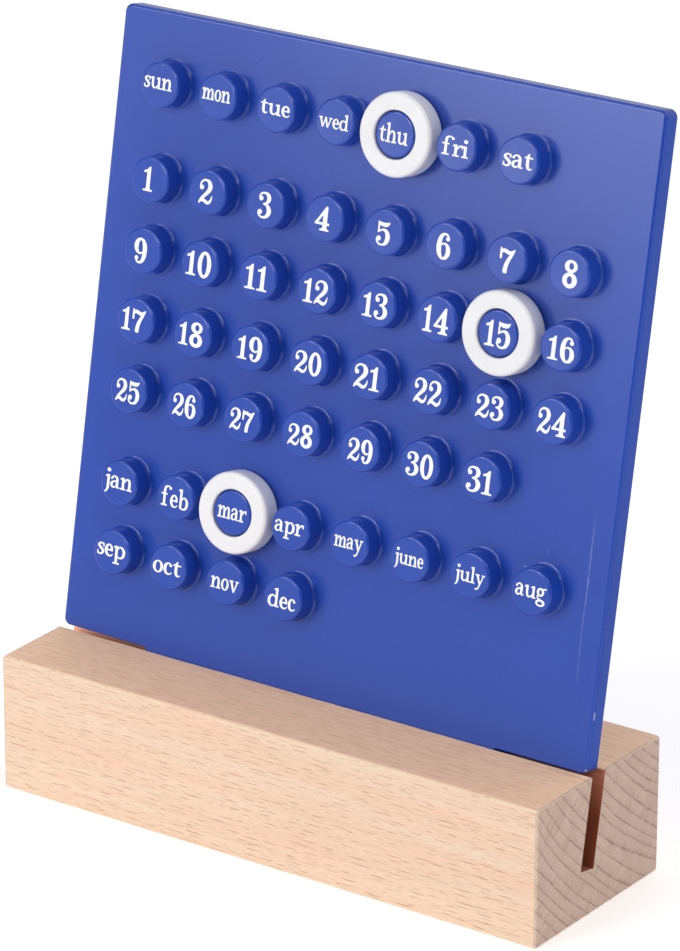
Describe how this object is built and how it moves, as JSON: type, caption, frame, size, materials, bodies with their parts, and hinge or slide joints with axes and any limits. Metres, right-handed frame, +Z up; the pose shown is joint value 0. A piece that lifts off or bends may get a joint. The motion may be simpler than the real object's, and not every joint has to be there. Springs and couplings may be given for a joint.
{
  "type": "perpetual desk calendar",
  "caption": "Perpetual desk calendar: a leaning square panel of round studs stands in a slotted beech block, and loose rings pick out the weekday, date and month.",
  "frame": {"origin": "centre of the base block's bottom face, on the desk", "axes": "+X to the right along the block as the calendar is read, +Y towards the back, +Z up; the panel leans back 10.7 degrees from +Z towards +Y"},
  "size_m": [0.15, 0.0549, 0.1803],
  "materials": {
    "beech": "bare sanded beech with dark flecks along the grain",
    "blue_plastic": "satin moulded ABS",
    "white_plastic": "satin moulded ABS"
  },
  "bodies": {
    "base": {"base_block": "beech"},
    "panel": {"panel": "blue_plastic", "weekday_studs": "blue_plastic", "date_studs": "blue_plastic", "month_studs": "blue_plastic"},
    "weekday_ring": {"weekday_ring": "white_plastic"},
    "date_ring": {"date_ring": "white_plastic"},
    "month_ring": {"month_ring": "white_plastic"}
  },
  "joints": [
    {"name": "panel_lift", "type": "slide", "parent": "base", "child": "panel", "axis": [0, 0.1857, 0.9826], "range_m": [0, 0.025]},
    {"name": "weekday_ring_pull", "type": "slide", "parent": "panel", "child": "weekday_ring", "axis": [0, -0.9826, 0.1857], "range_m": [0, 0.012]},
    {"name": "date_ring_pull", "type": "slide", "parent": "panel", "child": "date_ring", "axis": [0, -0.9826, 0.1857], "range_m": [0, 0.012]},
    {"name": "month_ring_pull", "type": "slide", "parent": "panel", "child": "month_ring", "axis": [0, -0.9826, 0.1857], "range_m": [0, 0.012]}
  ]
}
